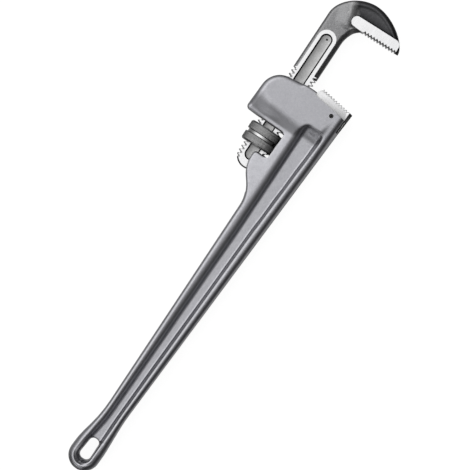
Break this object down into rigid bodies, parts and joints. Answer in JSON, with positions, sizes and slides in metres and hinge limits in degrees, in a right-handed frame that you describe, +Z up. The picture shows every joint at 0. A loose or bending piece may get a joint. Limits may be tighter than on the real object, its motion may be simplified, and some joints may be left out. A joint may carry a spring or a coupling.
{
  "type": "pipe wrench",
  "caption": "Heavy-duty straight pipe wrench: cast I-section handle, sprung sliding hook jaw with an adjusting nut, and a pinned heel jaw.",
  "frame": {"origin": "centre of the wrench's footprint as it lies flat, on the surface it lies on", "axes": "+X along the handle towards the jaws, +Y to the handle's back edge, away from the open side of the jaws, +Z up through the thickness"},
  "size_m": [0.5998, 0.1014, 0.0416],
  "materials": {
    "handle_casting": "satin bead-blasted casting",
    "jaw_steel": "milled bright",
    "forged_steel": "blackened forging with milled bright faces",
    "nut_steel": "knurled, dark",
    "pin_steel": "oiled",
    "spring_steel": "tempered"
  },
  "bodies": {
    "handle": {"handle": "handle_casting", "heel_jaw": "jaw_steel", "heel_jaw_pin": "pin_steel", "coil_spring": "spring_steel"},
    "flat_spring": {"flat_spring": "spring_steel", "spring_stud": "pin_steel"},
    "hook_jaw": {"hook_jaw": "forged_steel"},
    "adjusting_nut": {"adjusting_nut": "nut_steel"}
  },
  "joints": [
    {"name": "jaw_rock", "type": "hinge", "parent": "handle", "child": "flat_spring", "pos_m": [0.1107, 0.01639, 0.0208], "axis": [0, 0, -1], "range_deg": [0, 3], "stiffness_Nm_per_rad": 12, "springref_deg": -5.16, "deforming": ["coil_spring"]},
    {"name": "jaw_slide", "type": "slide", "parent": "flat_spring", "child": "hook_jaw", "axis": [0.9994, 0.0349, 0], "range_m": [-0.07, 0.012]},
    {"name": "nut_spin", "type": "hinge", "parent": "flat_spring", "child": "adjusting_nut", "pos_m": [0.1107, 0.01639, 0.0208], "axis": [0.9994, 0.0349, 0], "range_deg": [-930, 5370]}
  ],
  "couplings": [
    {"joint": "nut_spin", "follows": "jaw_slide", "rad_per_m": -1336.8}
  ]
}
